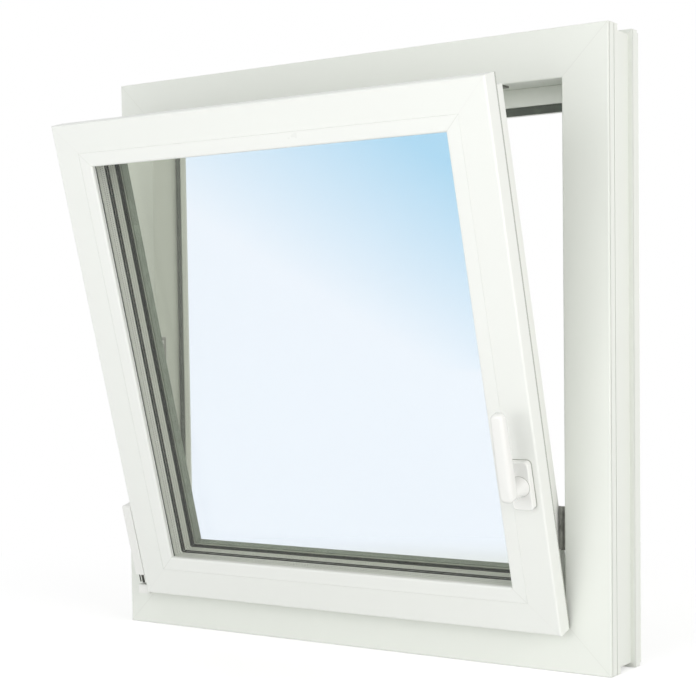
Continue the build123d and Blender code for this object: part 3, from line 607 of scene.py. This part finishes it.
def makeLeafShade(look):
    # painted shade: dark posts under the leaf, in front of the rod, stand in for the shade lines at the rod's
    # sides, and the dark foot plate that they go through stands in for the shade under the leaf's bottom edge
    mesh = bmesh.new()
    foot = look["leafFoot"]
    for across, radius, low in look["shadePosts"]:
        profile = [(0.0, low), (radius * 0.8, low), (radius, low + 0.0003), (radius, foot), (0.0, foot)]
        addSpun(mesh, profile, (across, sashFace + look["shadePostDepth"], 0), (0, 0, 1), 20)
    front, back = look["leafDepth"]
    addBlock(mesh, (look["leaf"][0], sashFace + front, foot - look["leafThick"]),
             (look["leaf"][1], sashFace + back, foot), 0.0002, 1)
    finishPiece("leafShadePosts", mesh, leafShadeDark)


def makeRodCollars(look):
    mesh = bmesh.new()
    centre = (look["across"], size["pivotDepth"], 0)
    edge = look["collarEdge"]
    for low, high, radius in look["collars"]:
        profile = [(0.0, low), (radius - edge, low), (radius, low + edge), (radius, high - edge),
                   (radius - edge, high), (0.0, high)]
        addSpun(mesh, profile, centre, (0, 0, 1), 32)
    finishPiece("rodCollars", mesh, keepDark)


makeHingeShell(hingeLook)
makeHingeCup(hingeLook)
makeLeafShade(hingeLook)
makeRodCollars(hingeLook)
print("hinge made")

# fluted keep that holds the tilted sash, and the screws of all keeps
keepLook = {"low": 0.163, "high": 0.221, "profile": (
    (0.0, 0.0020), (0.0022, 0.0020), (0.0022, 0.0034), (0.0036, 0.0034), (0.0036, 0.0020),
    (0.0062, 0.0020), (0.0068, 0.0026), (0.0068, 0.0046), (0.0080, 0.0046), (0.0080, 0.0060),
    (0.0111, 0.0060), (0.0115, 0.0064), (0.0115, 0.0086), (0.0111, 0.0090), (0.0025, 0.0090),
    (0.0025, 0.0216), (0.0021, 0.0220), (0.0, 0.0220))}


def makeTiltKeep(look):
    mesh = bmesh.new()
    points = [mesh.verts.new((jambFace - rise, size["roomFace"] + depth, look["low"]))
              for rise, depth in look["profile"]]
    foot = mesh.faces.new(points)
    grown = bmesh.ops.extrude_face_region(mesh, geom=[foot])["geom"]
    bmesh.ops.translate(mesh, verts=[item for item in grown if isinstance(item, bmesh.types.BMVert)],
                        vec=(0, 0, look["high"] - look["low"]))
    finishPiece("tiltKeepBar", mesh, keepDark, onSash=False, replaced=("tilt_keep",))


makeTiltKeep(keepLook)

# places of the screws: depths behind the room face, and along the bars of frame and sash
screwLook = {"radius": 0.0034, "rise": 0.0008, "intoKeep": 0.0025,
             "tiltKeep": {"depth": 0.0155, "heights": (0.172, 0.212)},
             "leftKeep": {"depth": 0.0120, "heights": (0.404, 0.446)},
             "barKeeps": {"depth": 0.0120, "low": 0.0685, "high": 0.7815,
                          "onSill": (-0.2540, -0.2120, 0.0960, 0.1380), "onHead": (0.2120, 0.2540)},
             "rail": {"depth": 0.010, "groove": 0.020, "along": (-0.24, -0.08, 0.08, 0.24), "aside": 0.03}}


def addScrew(mesh, look, place, axis):
    # domed head with a round socket
    addSpun(mesh, [(0.0, -0.0004), (look["radius"], -0.0004), (look["radius"], 0.0001),
                   (look["radius"] * 0.86, look["rise"] * 0.7), (look["radius"] * 0.55, look["rise"]),
                   (look["radius"] * 0.32, look["rise"]), (look["radius"] * 0.22, look["rise"] * 0.1),
                   (0.0, look["rise"] * 0.05)], place, axis, 16)


def makeKeepScrews(look):
    mesh = bmesh.new()
    onJamb = jambFace - look["intoKeep"]
    for place, side in ((look["tiltKeep"], 1), (look["leftKeep"], -1)):
        for z in place["heights"]:
            addScrew(mesh, look, (side * onJamb, size["roomFace"] + place["depth"], z), (-side, 0, 0))
    bars = look["barKeeps"]
    for level, places, up in ((bars["low"], bars["onSill"], 1), (bars["high"], bars["onHead"], -1)):
        for x in places:
            addScrew(mesh, look, (x, size["roomFace"] + bars["depth"], level), (0, 0, up))
    finishPiece("keepScrews", mesh, frameSteel, onSash=False)


def makeRailScrews(look):
    mesh = bmesh.new()
    rail = look["rail"]
    line = size["roomFace"] + rail["depth"]
    side = size["sashWidth"] / 2 - rail["groove"]
    end = size["sashBottom"] + rail["groove"]
    top = size["sashBottom"] + size["sashHeight"] - rail["groove"]
    for along in rail["along"]:
        addScrew(mesh, look, (side, line, sashMiddle + along), (1, 0, 0))
        addScrew(mesh, look, (-side, line, sashMiddle + along), (-1, 0, 0))
        addScrew(mesh, look, (along + rail["aside"], line, top), (0, 0, 1))
        addScrew(mesh, look, (along + rail["aside"], line, end), (0, 0, -1))
    finishPiece("railScrews", mesh, sashSteel)


makeKeepScrews(screwLook)
makeRailScrews(screwLook)
print("keeps and screws made")

studioLook = {"floorColour": (0.86, 0.86, 0.86, 1), "floorHalf": 14, "floorDrop": 0.0005,
              "floorGlow": 0.42, "nearFloor": 0.55, "farFloor": 1.25,
              "roomLight": 0.60, "paleSky": (1.15, 1.20, 1.46), "blueSky": (0.53, 0.89, 1.31),
              "skyWay": (0.528, 0.379, 1.0), "skyStart": 0.032, "skyEnd": 0.162}


def seenDirectly(desk):
    # 1 for what the camera sees itself or in gloss and glass, and the same for glass alone
    paths = desk.add("ShaderNodeLightPath").outputs
    looked = desk.sum("MAXIMUM", paths["Is Camera Ray"], paths["Is Glossy Ray"])
    looked = desk.sum("MAXIMUM", looked, paths["Is Transmission Ray"])
    unscattered = desk.sum("LESS_THAN", paths["Diffuse Depth"], 0.5)
    unreflected = desk.sum("LESS_THAN", paths["Glossy Depth"], 0.5)
    straight = desk.sum("MULTIPLY", paths["Is Transmission Ray"], unreflected)
    return desk.sum("MULTIPLY", looked, unscattered), desk.sum("MULTIPLY", straight, unscattered)


def makeFloor(look):
    floorMesh = bmesh.new()
    bmesh.ops.create_grid(floorMesh, x_segments=1, y_segments=1, size=look["floorHalf"])
    data = bpy.data.meshes.new("studioFloor")
    floorMesh.to_mesh(data)
    floorMesh.free()
    floor = bpy.data.objects.new("studioFloor", data)
    floor.location = (0, 0, -look["floorDrop"])
    scene.collection.objects.link(floor)
    desk = NodeDesk("floorPaper")
    desk.tree.nodes.remove(desk.shader)
    paper = desk.add("ShaderNodeBsdfDiffuse", {"Color": look["floorColour"]})
    seen, through = seenDirectly(desk)
    glow = desk.add("ShaderNodeEmission", {"Color": (1, 1, 1, 1),
                                           "Strength": desk.sum("MULTIPLY", seen, look["floorGlow"])})
    near = desk.add("ShaderNodeAddShader", {0: paper.outputs[0], 1: glow.outputs[0]})
    farColour = desk.mixColour(through, (1, 1, 1, 1), look["paleSky"] + (1,))
    white = desk.add("ShaderNodeEmission", {"Color": farColour, "Strength": 1.0})
    away = desk.add("ShaderNodeVectorMath", {0: desk.coords()}, operation="LENGTH").outputs["Value"]
    far = desk.ramp(away, 0.0, 1.0, look["nearFloor"], look["farFloor"])
    both = desk.add("ShaderNodeMixShader", {0: desk.sum("MULTIPLY", far, seen), 1: near.outputs[0],
                                            2: white.outputs[0]})
    desk.tree.links.new(both.outputs[0], desk.output.inputs["Surface"])
    floor.data.materials.append(desk.material)


class WorldDesk(NodeDesk):
    # the same calls for the world round the window
    def __init__(self, name):
        self.material = bpy.data.worlds.new(name)
        self.material.use_nodes = True
        self.tree = self.material.node_tree
        self.shader = self.tree.nodes["Background"]


def makeSurroundings(look):
    # white all round, and a pale sky where the glass is looked through
    desk = WorldDesk("studioWorld")
    scene.world = desk.material
    seen, through = seenDirectly(desk)
    height = desk.add("ShaderNodeVectorMath", {0: desk.coords(), 1: look["skyWay"]}, operation="DOT_PRODUCT")
    blue = desk.add("ShaderNodeMapRange", {"Value": height.outputs["Value"], "From Min": look["skyStart"],
                                           "From Max": look["skyEnd"]}).outputs["Result"]
    sky = desk.mixColour(blue, look["paleSky"] + (1,), look["blueSky"] + (1,))
    desk.feed(desk.mixColour(through, (1, 1, 1, 1), sky), desk.shader.inputs["Color"])
    desk.feed(desk.ramp(seen, look["roomLight"], 1.0), desk.shader.inputs["Strength"])


makeFloor(studioLook)
makeSurroundings(studioLook)

lampLook = [
    {"name": "roomLamp", "place": (-0.4, -2.8, 0.9), "aim": (0, 0, 0.35), "size": 2.4, "power": 19,
     "colour": (1, 1, 1)},
    {"name": "sideLamp", "place": (2.6, -0.9, 0.7), "aim": (0.3, 0, 0.35), "size": 2.0, "power": 29,
     "colour": (1, 0.975, 0.95)},
    {"name": "lowLamp", "place": (0.1, -1.7, 0.12), "aim": (0, 0, 0.1), "size": 1.0, "power": 5.5,
     "colour": (1, 1, 1)},
]
for lamp in lampLook:
    data = bpy.data.lights.new(lamp["name"], "AREA")
    data.energy = lamp["power"]
    data.color = lamp["colour"]
    data.size = lamp["size"]
    holder = bpy.data.objects.new(lamp["name"], data)
    holder.location = lamp["place"]
    holder.rotation_euler = (Vector(lamp["aim"]) - Vector(lamp["place"])).to_track_quat("-Z", "Y").to_euler()
    scene.collection.objects.link(holder)
print("studio lit")

scene.view_settings.view_transform = "Standard"
